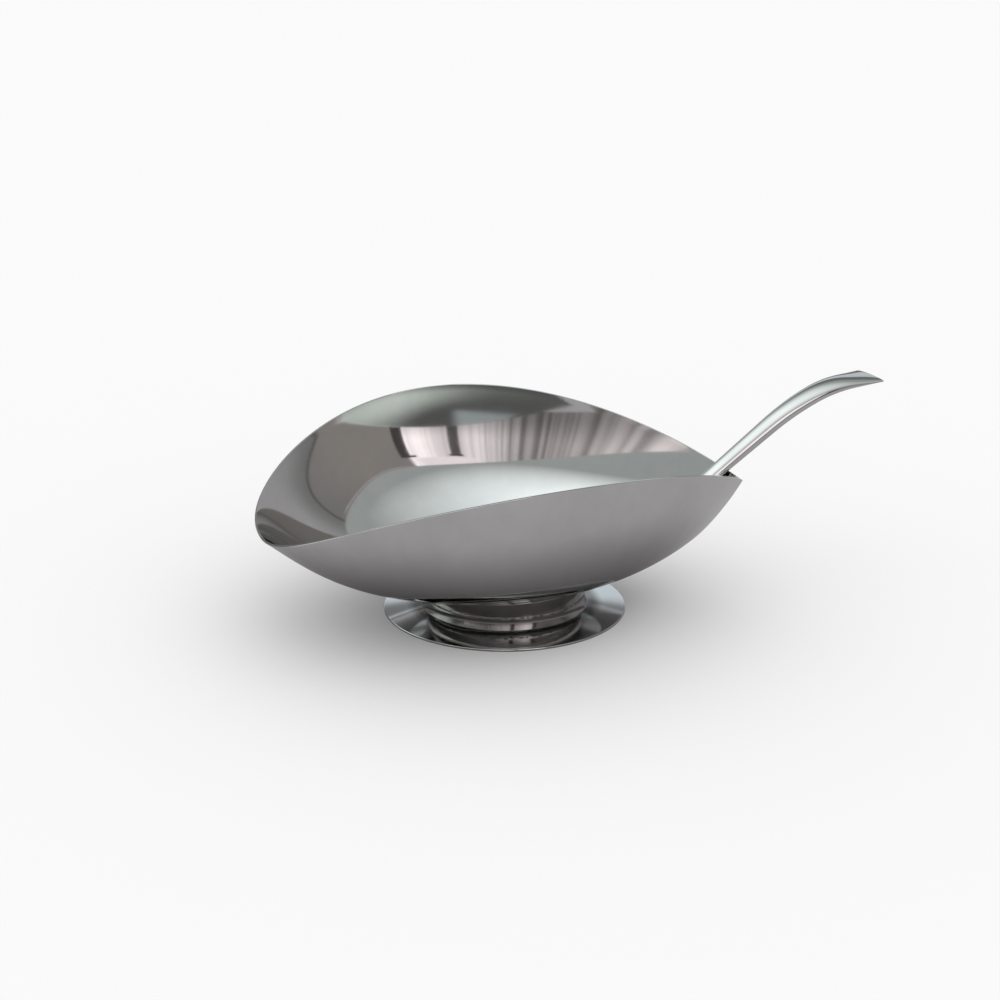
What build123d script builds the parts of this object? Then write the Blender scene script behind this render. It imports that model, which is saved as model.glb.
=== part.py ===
"""Gravy boat of polished sheet steel on a round foot, with its ladle resting in it.

Millimetres. +X runs along the boat from its rounded end to its pouring lip, +Z is up, and the
origin is the centre of the foot's resting ring. The boat is symmetric about the XZ plane. The
ladle stands in the boat, turned a little about Z, with its handle leaving over the lip.
"""

from build123d import *
from math import comb, cos, hypot, pi, radians, sin, sqrt, tan
import os

os.makedirs("parts", exist_ok=True)

# ---- Boat: one pressing of sheet steel ----
sheet = 1.0
floor_radius = 24.0  # the flat disc in the middle of the floor
floor_height = 13.4  # its underside above the table

# Control points of the rim's curve on the +Y side, from the rounded end to the pouring lip.
# The first two share X and Z, so the curve crosses the XZ plane square on at the rounded end.
rim_control = [
    (-105.6, 0.0, 42.4),
    (-105.6, 49.5, 42.4),
    (-84.2, 55.0, 64.6),
    (-37.2, 130.4, 92.0),
    (52.6, 80.0, 86.0),
    (107.8, 0.0, 47.7),
]
# Each level of the wall is the rim's outline drawn in towards the floor: how far along X at the
# rounded end and at the lip, how far along Y, and the share of the rim's rise that it has
# reached at the rounded end, at the middle and at the lip.
wall_levels = [
    (0.36, 0.72, 0.44, 0.00, 0.00, 0.00),
    (0.69, 0.73, 0.82, 0.00, 0.23, 0.00),
    (0.87, 0.90, 0.98, 0.69, 0.33, 0.49),
    (1.00, 1.00, 1.00, 1.00, 1.00, 1.00),
]

# ---- Foot: a spun flange with a short neck, open underneath ----
flange_radius = 52.0
flange_edge = 1.0  # height of the flange's outer edge
flange_slope = 0.09  # rise of the flange towards the neck, per millimetre
neck_radius = 34.5
knee_height = 5.0  # where the neck starts to lean out, before its long turn is rounded in
knee_lean = 25.0  # degrees from vertical
knee_radius = 10.0
toe_radius = 0.6  # the tight turn from the leaning stretch to the flange
neck_stock = 20.0  # the neck's length before it is cut to the boat
rest_ring_width = 3.0
foot_sheet = 0.9

# ---- Ladle ----
ladle_radius = 25.0
ladle_rim_height = 30.4
ladle_floor_height = 15.4  # underside, just clear of the boat's floor
ladle_sheet = 0.9
ladle_heading = 12.0  # degrees from +X towards +Y, the way the handle points
notch_reach = 65.0  # from the ladle bowl's centre to the boat's notch between its two rims
notch_point = (97.1, 3.1, 52.3)  # on the handle's centre line
handle_slope = 32.8  # degrees, of the straight stretch
straight_past_notch = 30.5
first_bend = (122.7, 11.2)  # radius and turn in degrees, just past the straight stretch
last_bend = (63.4, 18.1)  # the tighter bend that levels the end of the handle
end_straight = 13.1  # of the spine, past the last bend
handle_root_reach = 14.0  # from the ladle bowl's centre to the bar's root, before it is cut
# Half the bar's width and half its thickness, as the control values of a smooth curve of
# each from the root to the end.
handle_half_widths = [3.2, 3.0, 4.6, 2.85, 6.0, 10.1]
handle_half_thicknesses = [0.8, 2.2, 3.4, 3.25, 4.9, 1.0]

# ---- Brazed joints ----
bead_spread = 1.4  # the foot's bead, before it is cut to the boat's underside
bead_drop = 1.4
bead_rise = 2.4
ladle_bead = 0.8
ladle_bead_reach = 28.0  # from the ladle bowl's centre to the bead's thin end


def half_circle(radius, height):
    """Six control points of a half circle on the +Y side, from -X round to +X."""
    reach = pi * radius / 5
    sag = pi**2 * radius / 20
    first = [(-radius, 0.0), (-radius, reach), (sag - radius, 2 * reach)]
    plan = first + [(-x, y) for x, y in reversed(first)]
    return [(x, y, height) for x, y in plan]


def wall_row(round_end, lip, width, rise_round_end, rise_middle, rise_lip):
    """The rim's control points drawn in to one level of the wall."""
    near_lip = (rise_middle + rise_lip) / 2
    rises = [rise_round_end, rise_round_end, rise_middle, rise_middle, near_lip, rise_lip]
    row = []
    for (x, y, z), rise in zip(rim_control, rises):
        along = round_end if x < 0 else lip
        row.append((x * along, y * width, floor_height + rise * (z - floor_height)))
    return row


floor_row = half_circle(floor_radius, floor_height)
wall_net = [floor_row] + [wall_row(*level) for level in wall_levels]
half_wall = Face.make_bezier_surface([[Vector(*point) for point in row] for row in wall_net])


def half_bowl(thickness, mode):
    """The +Y half of the boat: its wall and half of its flat floor, thickened upwards and inwards."""
    thicken(half_wall, amount=-thickness, mode=mode)
    with BuildSketch(Plane.XY.offset(floor_height)) as half_floor:
        with BuildLine():
            Bezier(*[(x, y) for x, y, z in floor_row])
            Line((floor_radius, 0), (-floor_radius, 0))
        make_face()
    extrude(half_floor.sketch, amount=thickness, mode=mode)


# ---- bowl_shell: creased at the lip, smooth round the other end ----
with BuildPart() as bowl_shell:
    half_bowl(sheet, Mode.ADD)
    split(bisect_by=Plane.XZ, keep=Keep.BOTTOM)
    mirror(about=Plane.XZ)
bowl_shell.part.label = "bowl_shell"
export_step(bowl_shell.part, "parts/bowl_shell.step")


def flange_top(radius):
    """Height of the flange's gently coned top at a radius."""
    return flange_edge + flange_slope * (flange_radius - radius)


def foot_profile(inset, edge_radius, mode):
    """The foot's solid shape under its outer skin, drawn in by the inset and cut at the edge radius."""
    wall = neck_radius - inset
    drop = inset * hypot(1, flange_slope)
    lean = tan(radians(knee_lean))
    knee = (wall, knee_height - inset * tan(radians(knee_lean) / 2))
    toe_reach = (wall + lean * (knee[1] + drop - flange_top(0))) / (1 - lean * flange_slope)
    toe = (toe_reach, flange_top(toe_reach) - drop)
    edge = (edge_radius, flange_top(edge_radius) - drop)
    turns = [knee_radius + inset, toe_radius + inset]
    with BuildSketch(Plane.XZ) as profile:
        with BuildLine():
            FilletPolyline((wall, neck_stock), knee, toe, edge, radius=turns)
            Polyline(edge, (edge_radius, 0), (0, 0), (0, neck_stock), (wall, neck_stock))
        make_face()
    revolve(profile.sketch, axis=Axis.Z, mode=mode)


# ---- pedestal_foot: a spun ring with a flat rim to stand on, its neck cut to the boat's curve ----
with BuildPart() as pedestal_foot:
    foot_profile(0, flange_radius, Mode.ADD)
    foot_profile(foot_sheet, flange_radius - rest_ring_width, Mode.SUBTRACT)
    split(bisect_by=Plane.XZ, keep=Keep.BOTTOM)
    half_bowl(neck_stock, Mode.SUBTRACT)
    mirror(about=Plane.XZ)
pedestal_foot.part.label = "pedestal_foot"
export_step(pedestal_foot.part, "parts/pedestal_foot.step")

# ---- foot_braze_seam: the bead in the corner between the neck and the boat's underside ----
with BuildPart() as foot_braze_seam:
    with BuildSketch(Plane.XZ):
        with BuildLine():
            bead_low = (neck_radius, floor_height - bead_drop)
            bead_high = (neck_radius + bead_spread, floor_height + bead_rise)
            Polyline(bead_low, bead_high, (neck_radius, bead_high[1]), bead_low)
        make_face()
    revolve(axis=Axis.Z)
    split(bisect_by=Plane.XZ, keep=Keep.BOTTOM)
    half_bowl(neck_stock, Mode.SUBTRACT)
    mirror(about=Plane.XZ)
foot_braze_seam.part.label = "foot_braze_seam"
export_step(foot_braze_seam.part, "parts/foot_braze_seam.step")

# ---- Where the ladle stands: outwards runs along its handle ----
heading = radians(ladle_heading)
outwards = Vector(cos(heading), sin(heading), 0)
sideways = Vector(-sin(heading), cos(heading), 0)
ladle_centre = Vector(notch_point[0], notch_point[1], 0) - outwards * notch_reach
bowl_depth = ladle_rim_height - ladle_floor_height
dish_radius = (ladle_radius**2 + bowl_depth**2) / (2 * bowl_depth)
dish_height = ladle_floor_height + dish_radius

# ---- ladle_bowl: a shallow round dish ----
with BuildPart() as ladle_bowl:
    inner_radius = dish_radius - ladle_sheet
    inner_edge = sqrt(inner_radius**2 - (dish_height - ladle_rim_height) ** 2)
    inner_floor = ladle_floor_height + ladle_sheet
    with BuildSketch(Plane(origin=ladle_centre, x_dir=outwards, z_dir=-sideways)):
        with BuildLine():
            RadiusArc((0, ladle_floor_height), (ladle_radius, ladle_rim_height), -dish_radius)
            Line((ladle_radius, ladle_rim_height), (inner_edge, ladle_rim_height))
            RadiusArc((inner_edge, ladle_rim_height), (0, inner_floor), inner_radius)
            Line((0, inner_floor), (0, ladle_floor_height))
        make_face()
    revolve(axis=Axis(origin=ladle_centre, direction=(0, 0, 1)))
ladle_bowl.part.label = "ladle_bowl"
export_step(ladle_bowl.part, "parts/ladle_bowl.step")

# The handle's spine, drawn flat: X is the distance outwards from the ladle's centre, Y the height.
slope = radians(handle_slope)
root_height = notch_point[2] - (notch_reach - handle_root_reach) * tan(slope)
root = (handle_root_reach, root_height)
straight = (notch_reach - handle_root_reach) / cos(slope) + straight_past_notch
with BuildLine() as spine_line:
    Line(root, (root[0] + straight * cos(slope), root[1] + straight * sin(slope)))
    for bend_radius, bend_turn in (first_bend, last_bend):
        so_far = spine_line.wire()
        JernArc(so_far @ 1, so_far % 1, bend_radius, -bend_turn)
    so_far = spine_line.wire()
    Line(so_far @ 1, so_far @ 1 + so_far % 1 * end_straight)
spine = spine_line.wire()


def smooth_value(controls, share):
    """The value of a Bezier curve of single numbers, at a share of the way along it."""
    degree = len(controls) - 1
    weights = [comb(degree, i) * share**i * (1 - share) ** (degree - i) for i in range(degree + 1)]
    return sum(weight * value for weight, value in zip(weights, controls))


def handle_section(distance, margin=0.0):
    """The bar's oval section at a distance along its spine, grown all round by the margin."""
    share = distance / spine.length
    here = spine.position_at(distance, position_mode=PositionMode.LENGTH)
    ahead = spine.tangent_at(distance, position_mode=PositionMode.LENGTH)
    station = Plane(
        origin=ladle_centre + outwards * here.X + Vector(0, 0, here.Y),
        x_dir=sideways,
        z_dir=outwards * ahead.X + Vector(0, 0, ahead.Y),
    )
    with BuildSketch(station, mode=Mode.PRIVATE) as section:
        Ellipse(
            smooth_value(handle_half_widths, share) + margin,
            smooth_value(handle_half_thicknesses, share) + margin,
        )
    return section.sketch


def cut_to_dish():
    """Cut the solid back to the outside of the ladle's dish."""
    with Locations(ladle_centre + Vector(0, 0, dish_height)):
        Sphere(dish_radius, mode=Mode.SUBTRACT)


# ---- ladle_handle: an oval bar that widens, levels and is pressed flat to its square-cut end ----
handle_stations = 14
with BuildPart() as ladle_handle:
    loft([handle_section(spine.length * number / handle_stations) for number in range(handle_stations + 1)])
    cut_to_dish()
ladle_handle.part.label = "ladle_handle"
export_step(ladle_handle.part, "parts/ladle_handle.step")

# ---- ladle_braze_seam: the bead round the root of the handle ----
with BuildPart() as ladle_braze_seam:
    bead_length = (ladle_bead_reach - handle_root_reach) / cos(slope)
    loft([handle_section(0, ladle_bead), handle_section(bead_length, ladle_bead / 4)])
    add(ladle_handle.part, mode=Mode.SUBTRACT)
    cut_to_dish()
ladle_braze_seam.part.label = "ladle_braze_seam"
export_step(ladle_braze_seam.part, "parts/ladle_braze_seam.step")
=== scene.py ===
"""The gravy boat's looks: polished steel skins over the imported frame, on a pale floor in a soft studio.

Metres, in the frame of the CAD model: +X runs to the pouring lip, +Z is up, and the floor is Z = 0.
A bearing is an angle round the boat in degrees, 0 along +Y and 90 along +X.
"""

from math import acos, atan2, comb, cos, hypot, pi, radians, sin, tan

import bpy
import numpy as np
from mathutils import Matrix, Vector
from mathutils.bvhtree import BVHTree


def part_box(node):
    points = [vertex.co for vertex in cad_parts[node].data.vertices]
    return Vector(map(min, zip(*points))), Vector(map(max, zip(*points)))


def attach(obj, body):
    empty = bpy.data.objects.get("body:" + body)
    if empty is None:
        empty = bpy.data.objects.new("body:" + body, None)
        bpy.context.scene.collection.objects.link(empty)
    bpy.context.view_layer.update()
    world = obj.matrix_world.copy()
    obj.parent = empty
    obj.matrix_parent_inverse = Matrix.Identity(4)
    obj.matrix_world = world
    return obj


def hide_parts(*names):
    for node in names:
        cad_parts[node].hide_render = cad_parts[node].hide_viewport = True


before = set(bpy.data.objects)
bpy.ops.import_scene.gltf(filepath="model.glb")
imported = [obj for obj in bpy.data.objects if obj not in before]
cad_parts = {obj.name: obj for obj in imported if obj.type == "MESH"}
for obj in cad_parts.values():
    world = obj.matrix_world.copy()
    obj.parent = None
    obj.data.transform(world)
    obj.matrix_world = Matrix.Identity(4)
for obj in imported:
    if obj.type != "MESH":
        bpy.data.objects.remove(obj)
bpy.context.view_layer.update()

# ---- Boat: the curve of its pressing, as in the CAD model ----
SHEET = 0.001
FLOOR_RADIUS = 0.024
FLOOR_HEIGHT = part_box("bowl_shell")[0].z
RIM_CONTROL = [
    (-0.1056, 0.0, 0.0424),
    (-0.1056, 0.0495, 0.0424),
    (-0.0842, 0.0550, 0.0646),
    (-0.0372, 0.1304, 0.0920),
    (0.0526, 0.0800, 0.0860),
    (0.1078, 0.0, 0.0477),
]
# How far each level of the wall reaches at the round end, at the lip and sideways, as a share of
# the rim, and the share of the rim's rise at the round end, at the middle and at the lip.
WALL_LEVELS = [
    (0.36, 0.72, 0.44, 0.00, 0.00, 0.00),
    (0.69, 0.73, 0.82, 0.00, 0.23, 0.00),
    (0.87, 0.90, 0.98, 0.69, 0.33, 0.49),
    (1.00, 1.00, 1.00, 1.00, 1.00, 1.00),
]
RIM_ROUNDING = 0.00025  # how far below the rim its two edges start to round over
RIM_FLATNESS = 0.4  # 1 is a half-round edge, and less leaves a flatter edge with smaller corners
WALL_STEPS = 56
RIM_STEPS = 14
AROUND_STEPS = 128  # along one side of the boat, from the round end to the lip
FLOOR_RINGS = 6

# ---- Foot ----
FLANGE_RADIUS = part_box("pedestal_foot")[1].x
FLANGE_EDGE = 0.0010
FLANGE_SLOPE = 0.09
NECK_RADIUS = 0.0345
NECK_SHADE_SPAN = (0.0375, 0.0430)  # radii between which the painted shade round the neck ends
KNEE_HEIGHT = 0.0050  # where the neck starts to lean out, before its long turn is rounded in
KNEE_LEAN = radians(25.0)
KNEE_RADIUS = 0.0100
TOE_RADIUS = 0.0006  # the tight turn from the leaning stretch to the flange
REST_RING_WIDTH = 0.0030
FOOT_SHEET = 0.0009
FOOT_EDGE_ROUNDING = 0.0003
FOOT_SEGMENTS = 224
FOOT_BEAD = 0.0010
SKIN_GAP = 0.00005  # between the bead and the neck it lies on

# ---- Ladle ----
LADLE_LOW, LADLE_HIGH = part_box("ladle_bowl")
LADLE_RADIUS = (LADLE_HIGH.x - LADLE_LOW.x) / 2
LADLE_SHEET = 0.0009
LADLE_SEGMENTS = 160
HEADING = radians(12.0)  # the handle's bearing from +X towards +Y
NOTCH_REACH = 0.0650  # from the ladle's centre to the boat's notch between its two rims
NOTCH_HEIGHT = 0.0523
HANDLE_SLOPE = radians(32.8)
STRAIGHT_PAST_NOTCH = 0.0305
HANDLE_BENDS = [(0.1227, radians(11.2)), (0.0634, radians(18.1))]
END_STRAIGHT = 0.0131
HANDLE_ROOT_REACH = 0.0140
# Half the bar's width and half its thickness, as the control values of a smooth curve of each
# from the root to the end.
HANDLE_HALF_WIDTHS = [0.0032, 0.0030, 0.0046, 0.00285, 0.0060, 0.0101]
HANDLE_HALF_THICKNESSES = [0.0008, 0.0022, 0.0034, 0.00325, 0.0049, 0.0010]
HANDLE_STEPS = 110
HANDLE_AROUND = 64
HANDLE_END_ROUNDING = 0.0003
JOIN_REACH = 0.0205  # from the ladle's centre to the section that is slid back onto the dish
HANDLE_CLEAR_OF_DISH = 0.004  # past the dish's rim, where the bar's own sections begin
LADLE_BEAD = 0.0007
LADLE_BEAD_LENGTH = 0.0026
DISH_CENTRE_TURN = 0.02  # radians from the dish's lowest point to its innermost ring


# ================================ Mesh helpers ================================

def ring_mesh(name, rings, closed_profile=False, low_centre=None, high_centre=None):
    """A mesh of rings of points joined in order, each ring closed on itself.

    Either the last ring joins the first, or each end closes onto its centre point.
    """
    rings = np.asarray(rings, float)
    count, around = rings.shape[:2]
    points = [tuple(point) for point in rings.reshape(-1, 3)]
    sides = [(column, (column + 1) % around) for column in range(around)]
    faces = []
    for row in range(count if closed_profile else count - 1):
        this, following = row * around, (row + 1) % count * around
        for column, after in sides:
            faces.append((this + column, this + after, following + after, following + column))
    if low_centre is not None:
        points.append(tuple(low_centre))
        faces += [(len(points) - 1, after, column) for column, after in sides]
    if high_centre is not None:
        points.append(tuple(high_centre))
        last = (count - 1) * around
        faces += [(len(points) - 1, last + column, last + after) for column, after in sides]
    mesh = bpy.data.meshes.new(name)
    mesh.from_pydata(points, [], faces)
    mesh.validate()
    mesh.shade_smooth()
    piece = bpy.data.objects.new(name, mesh)
    bpy.context.scene.collection.objects.link(piece)
    return piece


def lathe_rings(profile, centre, segments):
    """Rings made by turning (radius, height) points about the vertical through the centre."""
    turns = np.linspace(0, 2 * pi, segments, endpoint=False)
    xs, ys = np.cos(turns), np.sin(turns)
    rings = [
        np.stack([centre[0] + r * xs, centre[1] + r * ys, np.full(segments, z)], axis=-1)
        for r, z in profile
    ]
    return np.array(rings)


def arc(centre, radius, start, end, steps):
    """Points of a plane arc, angles in radians."""
    turns = np.linspace(start, end, steps + 1)
    return [(centre[0] + radius * cos(t), centre[1] + radius * sin(t)) for t in turns]


def rounded_path(corners, radii, steps):
    """Points along straight runs whose inner corners are rounded by arcs."""
    corners = [np.array(corner) for corner in corners]
    points = [corners[0]]
    for before, corner, after, radius in zip(corners, corners[1:], corners[2:], radii):
        back = (before - corner) / np.linalg.norm(before - corner)
        ahead = (after - corner) / np.linalg.norm(after - corner)
        half = acos(back @ ahead) / 2
        centre = corner + (back + ahead) / np.linalg.norm(back + ahead) * radius / sin(half)
        start = corner + back * radius / tan(half) - centre
        finish = corner + ahead * radius / tan(half) - centre
        turn = pi - 2 * half
        for share in np.linspace(0, 1, steps + 1):
            points.append(centre + (sin((1 - share) * turn) * start + sin(share * turn) * finish) / sin(turn))
    return points + [corners[-1]]


# ================================ Boat ================================

def half_circle(radius, height):
    """Six control points of a half circle on the +Y side, from -X round to +X."""
    reach = pi * radius / 5
    sag = pi**2 * radius / 20
    first = [(-radius, 0.0), (-radius, reach), (sag - radius, 2 * reach)]
    plan = first + [(-x, y) for x, y in reversed(first)]
    return [(x, y, height) for x, y in plan]


def wall_row(round_end, lip, width, rise_round_end, rise_middle, rise_lip):
    """The rim's control points drawn in to one level of the wall."""
    near_lip = (rise_middle + rise_lip) / 2
    rises = [rise_round_end, rise_round_end, rise_middle, rise_middle, near_lip, rise_lip]
    row = []
    for (x, y, z), rise in zip(RIM_CONTROL, rises):
        along = round_end if x < 0 else lip
        row.append((x * along, y * width, FLOOR_HEIGHT + rise * (z - FLOOR_HEIGHT)))
    return row


WALL_NET = np.array([half_circle(FLOOR_RADIUS, FLOOR_HEIGHT)] + [wall_row(*level) for level in WALL_LEVELS])


def bernstein(degree, t):
    """Weights of a Bezier curve's control points at each t, along a new last axis."""
    return np.stack([comb(degree, i) * t**i * (1 - t) ** (degree - i) for i in range(degree + 1)], axis=-1)


def bernstein_slope(degree, t):
    """The weights' derivatives."""
    lower = degree * bernstein(degree - 1, t)
    empty = np.zeros_like(lower[..., :1])
    return np.concatenate([empty, lower], axis=-1) - np.concatenate([lower, empty], axis=-1)


def wall_sum(up_weights, along_weights):
    return np.einsum("...j,...i,jik->...k", up_weights, along_weights, WALL_NET)


def skin(along, climb, turn):
    """Points of the sheet. Climb is 0 at the floor and 1 at the rim, and turn runs from 0 on the
    outer face over the rounded rim to pi on the inner face."""
    rim_speed = wall_sum(bernstein_slope(4, np.ones_like(along)), bernstein(5, along))
    rounding = RIM_ROUNDING / np.linalg.norm(rim_speed, axis=-1)
    up = climb * (1 - rounding) + np.sin(turn) ** RIM_FLATNESS * rounding
    depth = SHEET * (1 - np.sign(np.cos(turn)) * np.abs(np.cos(turn)) ** RIM_FLATNESS) / 2
    place = wall_sum(bernstein(4, up), bernstein(5, along))
    upward = wall_sum(bernstein_slope(4, up), bernstein(5, along))
    onward = wall_sum(bernstein(4, up), bernstein_slope(5, along))
    inward = np.cross(onward, upward)
    inward /= np.linalg.norm(inward, axis=-1, keepdims=True)
    return place + inward * depth[..., None]


def bowl_rings():
    """Rings from the outer floor up the wall, over the rim and down to the inner floor."""
    up_wall = np.linspace(0, 1, WALL_STEPS)
    climbs = np.concatenate([up_wall, np.ones(RIM_STEPS - 1), up_wall[::-1]])
    over_rim = np.linspace(0, pi, RIM_STEPS + 1)[1:-1]
    turns = np.concatenate([np.zeros(WALL_STEPS), over_rim, np.full(WALL_STEPS, pi)])
    # The two sides meet in the XZ plane, so each row ends where its Y comes down to zero.
    short, long = np.full(len(climbs), 0.5), np.ones(len(climbs))
    for _ in range(40):
        middle = (short + long) / 2
        beyond = skin(middle, climbs, turns)[:, 1] < 0
        long = np.where(beyond, middle, long)
        short = np.where(beyond, short, middle)
    along = np.linspace(0, 1, AROUND_STEPS + 1)[None, :] * long[:, None]
    climbs, turns = (np.broadcast_to(values[:, None], along.shape) for values in (climbs, turns))
    side = skin(along, climbs, turns)
    side[:, 0, 1] = 0
    side[:, -1, 1] = 0
    other_side = side[:, -2:0:-1] * np.array([1, -1, 1])
    wall = np.concatenate([side, other_side], axis=1)
    inner_shares = np.arange(1, FLOOR_RINGS + 1) / (FLOOR_RINGS + 1)
    shares = inner_shares[:, None, None] * np.array([1, 1, 0]) + np.array([0, 0, 1])
    return np.concatenate([wall[0] * shares, wall, wall[-1] * shares[::-1]])


def mark_lip_crease(piece):
    """Keep the fold under the pouring lip sharp."""
    mesh = piece.data
    folded = FLOOR_RADIUS * 1.5
    flat = {v.index for v in mesh.vertices if abs(v.co.y) < 1e-7 and v.co.x > folded}
    for edge in mesh.edges:
        edge.use_edge_sharp = all(index in flat for index in edge.vertices)


# ================================ Foot ================================

def flange_top(radius):
    """Height of the flange's gently coned top at a radius."""
    return FLANGE_EDGE + FLANGE_SLOPE * (FLANGE_RADIUS - radius)


def foot_skin(inset):
    """The foot's upper skin drawn in by the inset: down the neck, round its knee and toe, and out."""
    wall = NECK_RADIUS - inset
    drop = inset * hypot(1, FLANGE_SLOPE)
    knee = (wall, KNEE_HEIGHT - inset * tan(KNEE_LEAN / 2))
    lean = tan(KNEE_LEAN)
    toe_reach = (wall + lean * (knee[1] + drop - flange_top(0))) / (1 - lean * FLANGE_SLOPE)
    edge = FLANGE_RADIUS - FOOT_EDGE_ROUNDING if inset == 0 else FLANGE_RADIUS - REST_RING_WIDTH
    corners = [(wall, FLOOR_HEIGHT / 2), knee] + [(r, flange_top(r) - drop) for r in (toe_reach, edge)]
    return rounded_path(corners, [KNEE_RADIUS + inset, TOE_RADIUS + inset], 16)


def boat_underside(tree, points):
    """Heights of the boat's underside above points of the floor."""
    heights = []
    for x, y in points:
        hit = tree.ray_cast(Vector((x, y, 0)), Vector((0, 0, 1)))
        heights.append(hit[0].z)
    return np.array(heights)


def foot_rings(tree):
    """Rings down the foot's outer skin, round its edge and up inside."""
    edge = FOOT_EDGE_ROUNDING
    corner = FLANGE_RADIUS - edge
    outer = foot_skin(0)
    inner = foot_skin(FOOT_SHEET)
    rounding = arc((corner, flange_top(corner) - edge), edge, pi / 2, 0, 4)[1:]
    rounding += arc((corner, edge), edge, 0, -pi / 2, 4)
    under = [(FLANGE_RADIUS - REST_RING_WIDTH, 0)]
    profile = outer + rounding + under + inner[::-1]
    rings = lathe_rings(profile, (0, 0), FOOT_SEGMENTS)
    neck_levels = []
    for share in np.linspace(1, 0, 6)[:-1]:
        ring = rings[0].copy()
        ring[:, 2] += share * (boat_underside(tree, ring[:, :2]) - ring[:, 2])
        neck_levels.append(ring)
    inner_top = rings[-1].copy()
    inner_top[:, 2] = boat_underside(tree, inner_top[:, :2])
    return np.concatenate([neck_levels, rings, [inner_top]])


def foot_bead_rings(tree):
    """A hollow bead in the corner between the neck and the boat's underside."""
    section = arc((1, -1), 1, pi, pi / 2, 6)  # from the neck up to the boat, in bead sizes
    profile = [(NECK_RADIUS + SKIN_GAP + FOOT_BEAD * across, down) for across, down in section]
    profile += [(NECK_RADIUS - FOOT_SHEET / 2, 0.2), (NECK_RADIUS - FOOT_SHEET / 2, -1)]
    rings = lathe_rings(profile, (0, 0), FOOT_SEGMENTS)
    for ring in rings:
        ring[:, 2] = boat_underside(tree, ring[:, :2]) + ring[:, 2] * FOOT_BEAD
    return rings


# ================================ Ladle ================================

OUTWARDS = np.array([cos(HEADING), sin(HEADING), 0.0])
SIDEWAYS = np.array([-sin(HEADING), cos(HEADING), 0.0])
LADLE_CENTRE = np.array([(LADLE_LOW.x + LADLE_HIGH.x) / 2, (LADLE_LOW.y + LADLE_HIGH.y) / 2, 0.0])
BOWL_DEPTH = LADLE_HIGH.z - LADLE_LOW.z
DISH_RADIUS = (LADLE_RADIUS**2 + BOWL_DEPTH**2) / (2 * BOWL_DEPTH)
DISH_CENTRE = LADLE_CENTRE + np.array([0, 0, LADLE_LOW.z + DISH_RADIUS])


def ladle_bowl_rings():
    """Rings from the dish's outer floor out over its rounded rim and back to its inner floor."""
    rim = atan2(LADLE_HIGH.z - DISH_CENTRE[2], LADLE_RADIUS)
    floor = DISH_CENTRE_TURN - pi / 2
    half_sheet = LADLE_SHEET / 2
    rim_turn = half_sheet / DISH_RADIUS
    centre = (0, DISH_CENTRE[2])
    outer = arc(centre, DISH_RADIUS, floor, rim - rim_turn, 40)
    inner = arc(centre, DISH_RADIUS - LADLE_SHEET, rim - rim_turn, floor, 40)
    middle = ((outer[-1][0] + inner[0][0]) / 2, (outer[-1][1] + inner[0][1]) / 2)
    rounding = arc(middle, half_sheet, rim - rim_turn, rim - rim_turn + pi, 8)[1:-1]
    return lathe_rings(outer + rounding + inner, LADLE_CENTRE, LADLE_SEGMENTS)


def handle_spine():
    """Stations of the handle's spine as (place, direction, half width, half thickness)."""
    inside = NOTCH_REACH - HANDLE_ROOT_REACH
    straight = inside / cos(HANDLE_SLOPE) + STRAIGHT_PAST_NOTCH
    length = straight + sum(radius * turn for radius, turn in HANDLE_BENDS) + END_STRAIGHT
    root = np.array([HANDLE_ROOT_REACH, NOTCH_HEIGHT - inside * tan(HANDLE_SLOPE)])
    stations = []
    for distance in np.linspace(0, length, HANDLE_STEPS + 1):
        slope = HANDLE_SLOPE
        place = root + min(distance, straight) * np.array([cos(slope), sin(slope)])
        left = max(0.0, distance - straight)
        for radius, full_turn in HANDLE_BENDS:
            turn = min(left / radius, full_turn)
            onto = slope - turn
            place = place + radius * np.array([sin(slope) - sin(onto), cos(onto) - cos(slope)])
            slope = onto
            left -= turn * radius
        place = place + left * np.array([cos(slope), sin(slope)])
        where = LADLE_CENTRE + OUTWARDS * place[0] + np.array([0, 0, place[1]])
        ahead = OUTWARDS * cos(slope) + np.array([0, 0, sin(slope)])
        weights = bernstein(len(HANDLE_HALF_WIDTHS) - 1, np.array(distance / length))
        half_sizes = weights @ HANDLE_HALF_WIDTHS, weights @ HANDLE_HALF_THICKNESSES
        stations.append((where, ahead, *half_sizes))
    return stations


def section_points(station, margin=0.0):
    """The handle's oval section at a station, grown all round by the margin."""
    where, ahead, half_width, half_thickness = station
    up = np.cross(ahead, SIDEWAYS)
    up = up if up[2] > 0 else -up
    turns = np.linspace(0, 2 * pi, HANDLE_AROUND, endpoint=False)[:, None]
    across = (half_width + margin) * np.cos(turns) * SIDEWAYS
    return where + across + (half_thickness + margin) * np.sin(turns) * up


def back_to_dish(points, ahead, grown=0.0):
    """Slide points along the handle onto the outside of the dish, or of a dish grown by a length."""
    away = points - DISH_CENTRE
    along = away @ ahead
    reach = (DISH_RADIUS + grown) ** 2 - (away**2).sum(axis=-1) + along**2
    return points + (np.sqrt(np.maximum(reach, 0)) - along)[:, None] * ahead


def reach_of(station):
    """How far a station of the spine is from the ladle's centre line."""
    return np.linalg.norm((station[0] - LADLE_CENTRE)[:2])


def root_ring(stations, margin, grown):
    """The section at the handle's root, grown by the margin and slid back onto the grown dish."""
    join = next(station for station in stations if reach_of(station) > JOIN_REACH)
    return back_to_dish(section_points(join, margin), join[1], grown)


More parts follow.
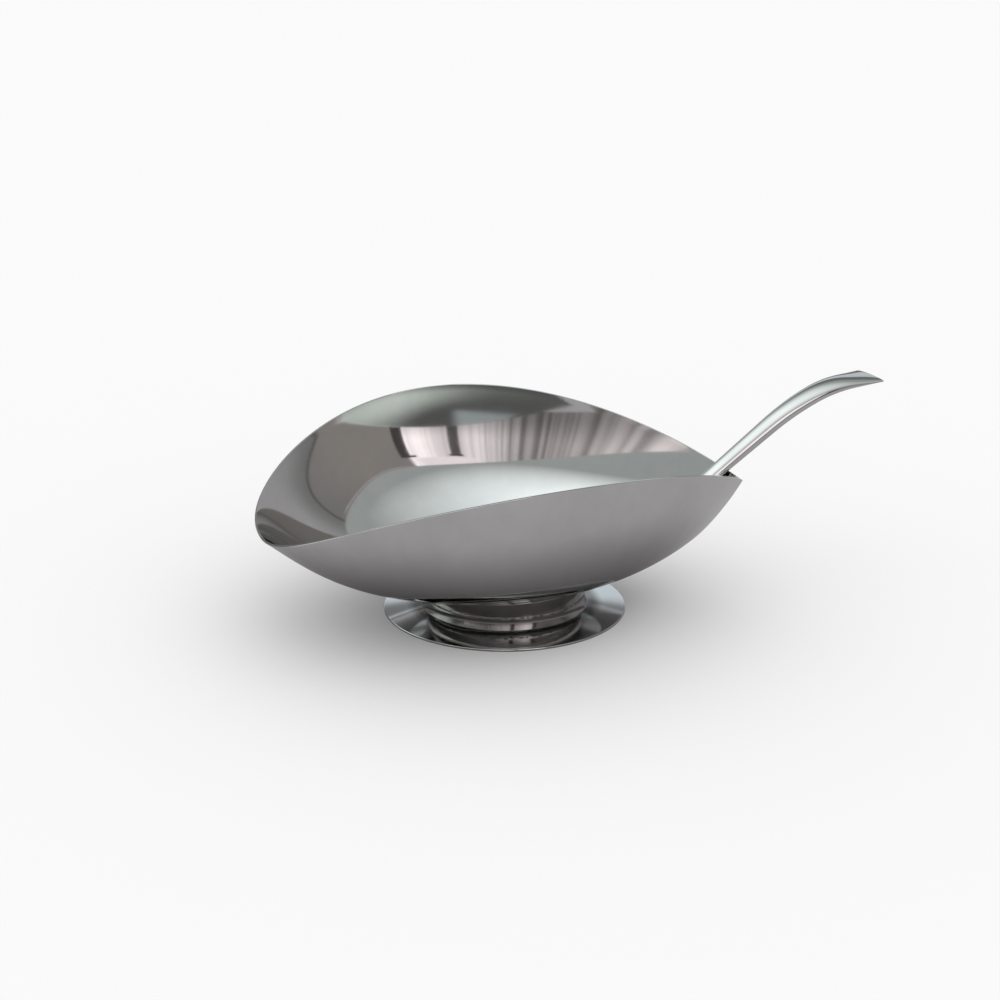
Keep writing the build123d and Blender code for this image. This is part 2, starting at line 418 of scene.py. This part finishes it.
def handle_rings(stations):
    """Rings from the dish to the handle's end, with the end's edge rounded over."""
    rings = [root_ring(stations, 0.0, -LADLE_SHEET / 2)]
    clear = LADLE_RADIUS + HANDLE_CLEAR_OF_DISH
    rings += [section_points(station) for station in stations[:-1] if reach_of(station) > clear]
    end, ahead, half_width, half_thickness = stations[-1]
    for turn in np.linspace(0, pi / 2, 5):
        back = HANDLE_END_ROUNDING * (1 - sin(turn))
        shrink = HANDLE_END_ROUNDING * (1 - cos(turn))
        half_sizes = half_width - shrink, half_thickness - shrink
        rings.append(section_points((end - ahead * back, ahead, *half_sizes)))
    return rings


def ladle_bead_rings(stations):
    """A hollow bead round the handle's root."""
    curve = arc((1, 1), 1, -pi / 2, -pi, 5)  # from the dish up to the bar, in bead sizes
    rings = [root_ring(stations, LADLE_BEAD * across, LADLE_BEAD_LENGTH * along) for across, along in curve]
    in_bar = -LADLE_BEAD / 4
    in_dish = -LADLE_SHEET / 4
    rings.append(root_ring(stations, in_bar, LADLE_BEAD_LENGTH * 0.8))  # short of the bead's tip
    rings.append(root_ring(stations, in_bar, in_dish))
    rings.append(root_ring(stations, LADLE_BEAD, in_dish))
    return rings


# ================================ Shader helpers ================================

def feed(tree, node, key, value):
    """Give an input a socket or a plain value."""
    if isinstance(value, bpy.types.NodeSocket):
        tree.links.new(value, node.inputs[key])
    else:
        node.inputs[key].default_value = value


def calc(tree, operation, *values):
    """A sum or other operation on numbers."""
    node = tree.nodes.new("ShaderNodeMath")
    node.operation = operation
    for key, value in enumerate(values):
        feed(tree, node, key, value)
    return node.outputs[0]


def product(tree, *values):
    """Two or more numbers multiplied together."""
    result = values[0]
    for value in values[1:]:
        result = calc(tree, "MULTIPLY", result, value)
    return result


def measure(tree, operation, *vectors):
    """A vector's LENGTH, or the DOT_PRODUCT of two."""
    node = tree.nodes.new("ShaderNodeVectorMath")
    node.operation = operation
    for key, vector in enumerate(vectors):
        feed(tree, node, key, vector)
    return node.outputs["Value"]


def ramp(tree, value, low, high, start=0.0, end=1.0, shape="SMOOTHSTEP"):
    """The value's place from low to high, carried over to the span from start to end."""
    node = tree.nodes.new("ShaderNodeMapRange")
    node.interpolation_type = shape
    ends = (("Value", value), ("From Min", low), ("From Max", high), ("To Min", start), ("To Max", end))
    for key, item in ends:
        feed(tree, node, key, item)
    return node.outputs["Result"]


def band(tree, value, low, high, soft):
    """1 between low and high, falling smoothly to 0 outside."""
    rising = ramp(tree, value, low - soft, low + soft)
    falling = ramp(tree, value, high - soft, high + soft, 1.0, 0.0)
    return product(tree, rising, falling)


def curve_through(tree, value, stops, peak):
    """A curve through (where, height) stops, none of them higher than the peak."""
    start, end = stops[0][0], stops[-1][0]
    node = tree.nodes.new("ShaderNodeValToRGB")
    feed(tree, node, 0, ramp(tree, value, start, end, shape="LINEAR"))
    elements = node.color_ramp.elements
    while len(elements) > 1:
        elements.remove(elements[-1])
    elements[0].position = 0
    elements[0].color = (stops[0][1] / peak,) * 3 + (1,)
    for where, height in stops[1:]:
        elements.new((where - start) / (end - start)).color = (height / peak,) * 3 + (1,)
    return product(tree, node.outputs[0], peak)


def mix(tree, share, first, second):
    """Blend two colours by a share."""
    node = tree.nodes.new("ShaderNodeMix")
    node.data_type = "RGBA"
    colours = [socket for socket in node.inputs if socket.type == "RGBA"]
    feed(tree, node, 0, share)
    for socket, colour in zip(colours, (first, second)):
        if isinstance(colour, bpy.types.NodeSocket):
            tree.links.new(colour, socket)
        else:
            socket.default_value = (*colour, 1)
    return next(socket for socket in node.outputs if socket.type == "RGBA")


def scaled(tree, colour, factor):
    """A colour times a number."""
    node = tree.nodes.new("ShaderNodeVectorMath")
    node.operation = "SCALE"
    feed(tree, node, 0, colour)
    feed(tree, node, "Scale", factor)
    return node.outputs[0]


def noise(tree, vector, scale, detail, roughness):
    node = tree.nodes.new("ShaderNodeTexNoise")
    tree.links.new(vector, node.inputs["Vector"])
    node.inputs["Scale"].default_value = scale
    node.inputs["Detail"].default_value = detail
    node.inputs["Roughness"].default_value = roughness
    return node.outputs["Fac"]


def stretched(tree, coordinates, scale):
    """Coordinates times a number along each axis."""
    node = tree.nodes.new("ShaderNodeMapping")
    tree.links.new(coordinates, node.inputs["Vector"])
    node.inputs["Scale"].default_value = scale
    return node.outputs["Vector"]


# ================================ Materials ================================

CLOUDS, PATCHES, PITS = (28, 4, 0.6), (95, 3, 0.55), (160, 2, 0.5)  # scale, detail and roughness


def steel_material(name, bright, dull, smooth, rough, line_scale, line_height, pit_height, painted_neck_shade=None):
    """Worked steel: cloudy colour and gloss, fine polishing lines and a faint unevenness.

    The last argument, if given, is a painted shade: the colour the steel darkens to round the foot's neck,
    standing in for the shade under the boat.
    """
    material = bpy.data.materials.new(name)
    material.use_nodes = True
    tree = material.node_tree
    shader = tree.nodes["Principled BSDF"]
    shader.inputs["Metallic"].default_value = 1.0
    coordinates = tree.nodes.new("ShaderNodeTexCoord").outputs["Object"]
    clouds = noise(tree, coordinates, *CLOUDS)
    patches = noise(tree, coordinates, *PATCHES)
    film = calc(tree, "ADD", product(tree, clouds, 0.65), product(tree, patches, 0.35))
    colour = mix(tree, ramp(tree, film, 0.35, 0.68), bright, dull)
    # Painted shade: round the foot's neck the colour darkens, in patches, to stand in for the shade under the
    # boat.
    if painted_neck_shade:
        radius = measure(tree, "LENGTH", stretched(tree, coordinates, (1, 1, 0)))
        patchy_shade = scaled(tree, painted_neck_shade, ramp(tree, patches, 0.3, 0.7, 0.8, 1.2))
        colour = mix(tree, ramp(tree, radius, *NECK_SHADE_SPAN), patchy_shade, colour)
    tree.links.new(colour, shader.inputs["Base Color"])
    lines = noise(tree, stretched(tree, coordinates, line_scale), 1.0, 3, 0.7)
    gloss = calc(tree, "ADD", product(tree, film, 0.7), product(tree, lines, 0.3))
    tree.links.new(ramp(tree, gloss, 0.32, 0.70, smooth, rough), shader.inputs["Roughness"])
    pits = noise(tree, coordinates, *PITS)
    last = None
    for height, distance in ((pits, pit_height), (lines, line_height)):
        bump = tree.nodes.new("ShaderNodeBump")
        bump.inputs["Strength"].default_value = 1.0
        bump.inputs["Distance"].default_value = distance
        tree.links.new(height, bump.inputs["Height"])
        if last:
            tree.links.new(last, bump.inputs["Normal"])
        last = bump.outputs["Normal"]
    tree.links.new(last, shader.inputs["Normal"])
    return material


def floor_material(pale, dim, painted_shadow):
    """A pale matt floor. The steel sees it dimmer than the eye does, with a painted shadow darkening it
    towards the foot.
    """
    material = bpy.data.materials.new("pale_floor")
    material.use_nodes = True
    tree = material.node_tree
    shader = tree.nodes["Principled BSDF"]
    shader.inputs["Roughness"].default_value = 1.0
    shader.inputs["Specular IOR Level"].default_value = 0.0
    distance = measure(tree, "LENGTH", tree.nodes.new("ShaderNodeTexCoord").outputs["Object"])
    # Painted shadow: the floor as the steel sees it darkens towards the foot.
    outer = ramp(tree, distance, SHADE_INNER, SHADE_OUTER)
    in_steel = tree.nodes.new("ShaderNodeLightPath").outputs["Is Glossy Ray"]
    tree.links.new(mix(tree, in_steel, pale, mix(tree, outer, painted_shadow, dim)), shader.inputs["Base Color"])
    return material


# ================================ Studio ================================

# The set that the steel reflects is a box with four walls under a ceiling. Angles are in degrees.
# A wall's top is at its steepness times how far the direction faces it.
WALLS = [(165, 0.87), (85, 1.17), (250, 0.10), (340, 0.95)]  # bearing and steepness
WALL_BLEND = 0.6
STUDIO_WHITE = (1.2, 1.2, 1.2)

CEILING_COLOUR = (0.94, 1.0, 1.0)
CEILING_SPOT = (-0.70, 0.10)  # its brightest place, as X and Y at a height of 1
CEILING_PEAK = 2.17
CEILING_FALL = -1.25
CEILING_DIMMEST, CEILING_BRIGHTEST = 0.45, 1.5

FRONT_WALL, BROWN_WALL = (0.24, 0.23, 0.23), (0.31, 0.285, 0.27)
SLANT_FROM, SLANT_TO = (60, 45), (108, 8)  # bearings and elevations along the slanting edge
SLANT_SHADE, GREY_WALL = (0.22, 0.22, 0.22), (0.42, 0.41, 0.42)
SLANT_LINE = (0.12, 0.11, 0.11)

PANEL_FROM, PANEL_TO = (-38, 24), (5, 39)  # along the pale panel's lower edge
FAR_WALL, PALE_PANEL, LOW_PANEL = (0.18, 0.18, 0.18), (0.96, 1.04, 0.98), (0.64, 0.70, 0.73)
MOULDING = (0.50, 0.45, 0.46)

SCRIM_COLOUR, SCRIM_STRIP = (1.04, 0.95, 0.96), (1.20, 1.08, 1.10)
SCRIM_PEAK = 1.6
SCRIM_STOPS = [  # degrees past the back of the room, and brightness
    (-25, 1.35), (-15, 1.6), (-5, 1.05), (3, 0.95), (15, 1.12), (27, 0.8), (36, 0.5), (47, 0.5),
    (56, 0.7), (66, 1.05), (70, 1.05),
]
POSTS = [((-29.0, -23.0), (-26.0, -19.5)), ((1.4, 7.0), (0.2, 7.8))]  # each post's sides and its cap's
POST_COLOUR = (0.06, 0.05, 0.05)


def direction(bearing, elevation):
    """The unit vector at a bearing and an elevation in degrees."""
    a, e = radians(bearing), radians(elevation)
    return Vector((sin(a) * cos(e), cos(a) * cos(e), sin(e)))


def past_edge(tree, view, edge_from, edge_to):
    """How far a direction is to one side of the straight edge between two others."""
    normal = direction(*edge_from).cross(direction(*edge_to)).normalized()
    return measure(tree, "DOT_PRODUCT", view, normal)


def bearing_from(tree, x, y):
    """A bearing in degrees from its parts along X and Y."""
    return calc(tree, "DEGREES", calc(tree, "ARCTAN2", x, y))


def above_walls(tree, x, y, z):
    """How far a direction is above the set's walls."""
    wall_top = None
    for bearing, steepness in WALLS:
        across = calc(tree, "MULTIPLY", x, sin(radians(bearing)))
        facing = calc(tree, "MULTIPLY_ADD", y, cos(radians(bearing)), across)
        top = product(tree, facing, steepness)
        wall_top = top if wall_top is None else calc(tree, "SMOOTH_MAX", wall_top, top, WALL_BLEND)
    return calc(tree, "SUBTRACT", z, wall_top)


def ceiling_panel(tree, x, y, z):
    """Cool white, brightest over the boat's left."""
    lift = calc(tree, "MAXIMUM", z, 0.05)  # stays clear of dividing by zero at the horizon
    from_spot = tree.nodes.new("ShaderNodeCombineXYZ")
    for key, (axis, spot) in enumerate(zip((x, y), CEILING_SPOT)):
        feed(tree, from_spot, key, calc(tree, "SUBTRACT", calc(tree, "DIVIDE", axis, lift), spot))
    distance = measure(tree, "LENGTH", from_spot.outputs[0])
    glow = calc(tree, "MULTIPLY_ADD", distance, CEILING_FALL, CEILING_PEAK)
    glow = calc(tree, "MINIMUM", calc(tree, "MAXIMUM", glow, CEILING_DIMMEST), CEILING_BRIGHTEST)
    return scaled(tree, CEILING_COLOUR, glow)


def side_walls(tree, view, to_front):
    """Brown-grey, with a lighter grey wall past a slanting edge on the right."""
    wall = mix(tree, ramp(tree, to_front, 70, 125), FRONT_WALL, BROWN_WALL)
    beyond = past_edge(tree, view, SLANT_FROM, SLANT_TO)
    side = mix(tree, ramp(tree, beyond, 0.0, 0.25), SLANT_SHADE, GREY_WALL)
    room = mix(tree, ramp(tree, beyond, -0.012, 0.004), wall, side)
    return mix(tree, band(tree, beyond, -0.012, 0.006, 0.01), room, SLANT_LINE)


def far_wall(tree, view, to_front, height):
    """Dark, with a pale panel above a slanting line, fading to the right, and a low pale panel."""
    panel = ramp(tree, past_edge(tree, view, PANEL_FROM, PANEL_TO), 0.0, 0.26, 1.0, 0.0)
    fade = ramp(tree, to_front, -40, 20, 1.30, 0.30)
    wall = mix(tree, panel, FAR_WALL, scaled(tree, PALE_PANEL, fade))
    low_panel = product(tree, band(tree, height, 6, 20, 1.5), band(tree, to_front, -6, 34, 4))
    return mix(tree, low_panel, wall, LOW_PANEL)


def scrim(tree, to_back, height):
    """Pinkish cloth in soft folds that deepen to the right, with a bright strip above."""
    folds = tree.nodes.new("ShaderNodeTexNoise")
    folds.noise_dimensions = "1D"
    feed(tree, folds, "W", to_back)
    folds.inputs["Scale"].default_value = 0.42
    folds.inputs["Detail"].default_value = 3.0
    deepest = ramp(tree, to_back, 8, 34, 0.85, 0.45)
    pleats = ramp(tree, folds.outputs["Fac"], 0.35, 0.58, deepest, 1.05)
    brightness = curve_through(tree, to_back, SCRIM_STOPS, SCRIM_PEAK)
    cloth = product(tree, brightness, pleats, ramp(tree, height, 0, 16, 0.5, 1.0))
    strip = product(tree, ramp(tree, height, 32, 33), band(tree, to_back, -19, 14, 3))
    return mix(tree, strip, scaled(tree, SCRIM_COLOUR, cloth), SCRIM_STRIP)


def studio_world():
    """Even white light, and for the steel a studio to reflect: a room-shaped set of soft panels."""
    world = bpy.data.worlds.new("studio")
    bpy.context.scene.world = world
    world.use_nodes = True
    tree = world.node_tree
    view = tree.nodes.new("ShaderNodeTexCoord").outputs["Generated"]
    parts = tree.nodes.new("ShaderNodeSeparateXYZ")
    tree.links.new(view, parts.inputs[0])
    x, y, z = parts.outputs
    height = calc(tree, "DEGREES", calc(tree, "ARCSINE", z))
    to_front = bearing_from(tree, x, y)
    to_back = bearing_from(tree, product(tree, x, -1.0), product(tree, y, -1.0))
    above = above_walls(tree, x, y, z)

    room = side_walls(tree, view, to_front)
    in_far_wall = band(tree, to_front, -85, 38, 10)
    room = mix(tree, in_far_wall, room, far_wall(tree, view, to_front, height))
    # A light moulding under the ceiling on the left.
    moulding = product(tree, band(tree, above, -0.032, -0.016, 0.006), band(tree, to_front, 70, 150, 8))
    room = mix(tree, moulding, room, MOULDING)
    # The scrim hangs behind the camera, with dark capped posts beside and between its two windows.
    room = mix(tree, band(tree, to_back, -24, 72, 1.5), room, scrim(tree, to_back, height))
    for sides, cap_sides in POSTS:
        post = product(tree, band(tree, to_back, *sides, 0.5), band(tree, height, 1, 31, 0.6))
        cap = product(tree, band(tree, to_back, *cap_sides, 0.6), band(tree, height, 29.2, 31.2, 0.4))
        dark = calc(tree, "MAXIMUM", product(tree, post, 0.93), cap)
        room = mix(tree, dark, room, POST_COLOUR)

    # Below the horizon the floor hides the world, so the walls run on down there.
    steel_sees = mix(tree, ramp(tree, above, -0.008, 0.008), room, ceiling_panel(tree, x, y, z))
    in_steel = tree.nodes.new("ShaderNodeLightPath").outputs["Is Glossy Ray"]
    background = tree.nodes["Background"]
    tree.links.new(mix(tree, in_steel, STUDIO_WHITE, steel_sees), background.inputs["Color"])
    background.inputs["Strength"].default_value = 1.0


# ================================ Build ================================

def finish_piece(piece, material, body, node):
    """Give a piece its material and tie it to the frame."""
    piece.data.materials.append(material)
    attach(piece, body)
    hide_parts(node)


polished = steel_material(
    "polished_steel",
    bright=(0.64, 0.64, 0.63),
    dull=(0.59, 0.59, 0.585),
    smooth=0.045,
    rough=0.085,
    line_scale=(900, 60, 900),
    line_height=4e-7,
    pit_height=1.0e-6,
)
foot_steel = steel_material(
    "foot_steel",
    bright=(0.76, 0.77, 0.78),
    dull=(0.70, 0.71, 0.72),
    smooth=0.06,
    rough=0.12,
    line_scale=(900, 900, 60),
    line_height=4e-7,
    pit_height=1.5e-6,
    # Painted shade round the neck.
    painted_neck_shade=(0.23, 0.225, 0.22),
)
brazed = steel_material(
    "brazed_seam",
    bright=(0.60, 0.58, 0.54),
    dull=(0.50, 0.47, 0.42),
    smooth=0.16,
    rough=0.30,
    line_scale=(500, 500, 500),
    line_height=2e-6,
    pit_height=6e-6,
)

bowl = ring_mesh(
    "boat_bowl", bowl_rings(), low_centre=(0, 0, FLOOR_HEIGHT), high_centre=(0, 0, FLOOR_HEIGHT + SHEET)
)
mark_lip_crease(bowl)
finish_piece(bowl, polished, "boat", "bowl_shell")

bowl_points = [vertex.co for vertex in bowl.data.vertices]
bowl_tree = BVHTree.FromPolygons(bowl_points, [face.vertices for face in bowl.data.polygons])
foot = ring_mesh("boat_foot", foot_rings(bowl_tree), closed_profile=True)
finish_piece(foot, foot_steel, "boat", "pedestal_foot")
foot_bead = ring_mesh("boat_foot_seam", foot_bead_rings(bowl_tree), closed_profile=True)
finish_piece(foot_bead, brazed, "boat", "foot_braze_seam")

ladle_dish = ring_mesh(
    "ladle_dish",
    ladle_bowl_rings(),
    low_centre=LADLE_CENTRE + (0, 0, LADLE_LOW.z),
    high_centre=LADLE_CENTRE + (0, 0, LADLE_LOW.z + LADLE_SHEET),
)
finish_piece(ladle_dish, polished, "ladle", "ladle_bowl")

spine = handle_spine()
bar_rings = handle_rings(spine)
root_centre, end_centre = np.mean(bar_rings[0], axis=0), np.mean(bar_rings[-1], axis=0)
handle = ring_mesh("ladle_handle_bar", bar_rings, low_centre=root_centre, high_centre=end_centre)
finish_piece(handle, polished, "ladle", "ladle_handle")
ladle_bead = ring_mesh("ladle_handle_seam", ladle_bead_rings(spine), closed_profile=True)
finish_piece(ladle_bead, brazed, "ladle", "ladle_braze_seam")

# ================================ Floor, light and camera ================================

FLOOR_PALE = (0.80, 0.80, 0.80)
FLOOR_IN_STEEL = (0.41, 0.40, 0.41)
# Painted shadow under the boat, in the floor as the steel sees it near the foot.
FLOOR_PAINTED_SHADOW = (0.24, 0.23, 0.23)
SHADE_INNER, SHADE_OUTER = 0.05, 0.15  # radii between which the steel's floor leaves the painted shadow round the foot
FLOOR_SIZE = 6.0

floor_mesh = bpy.data.meshes.new("floor")
half = FLOOR_SIZE / 2
floor_corners = [(-half, -half, 0), (half, -half, 0), (half, half, 0), (-half, half, 0)]
floor_mesh.from_pydata(floor_corners, [], [(0, 1, 2, 3)])
floor = bpy.data.objects.new("floor", floor_mesh)
bpy.context.scene.collection.objects.link(floor)
floor_mesh.materials.append(floor_material(FLOOR_PALE, FLOOR_IN_STEEL, FLOOR_PAINTED_SHADOW))

studio_world()

CAMERA_BEARING = 195.0
CAMERA_ELEVATION = 18.70
CAMERA_DISTANCE = 0.90
CAMERA_AIM = Vector((-0.0019, 0.0005, 0.0480))
back = direction(CAMERA_BEARING, CAMERA_ELEVATION)
camera_data = bpy.data.cameras.new("camera")
camera_data.sensor_width = 36.0
camera_data.lens = 76.34
camera = bpy.data.objects.new("camera", camera_data)
camera.location = CAMERA_AIM + back * CAMERA_DISTANCE
camera.rotation_euler = (-back).to_track_quat("-Z", "Y").to_euler()
bpy.context.scene.collection.objects.link(camera)
bpy.context.scene.camera = camera

bpy.context.scene.view_settings.view_transform = "Standard"
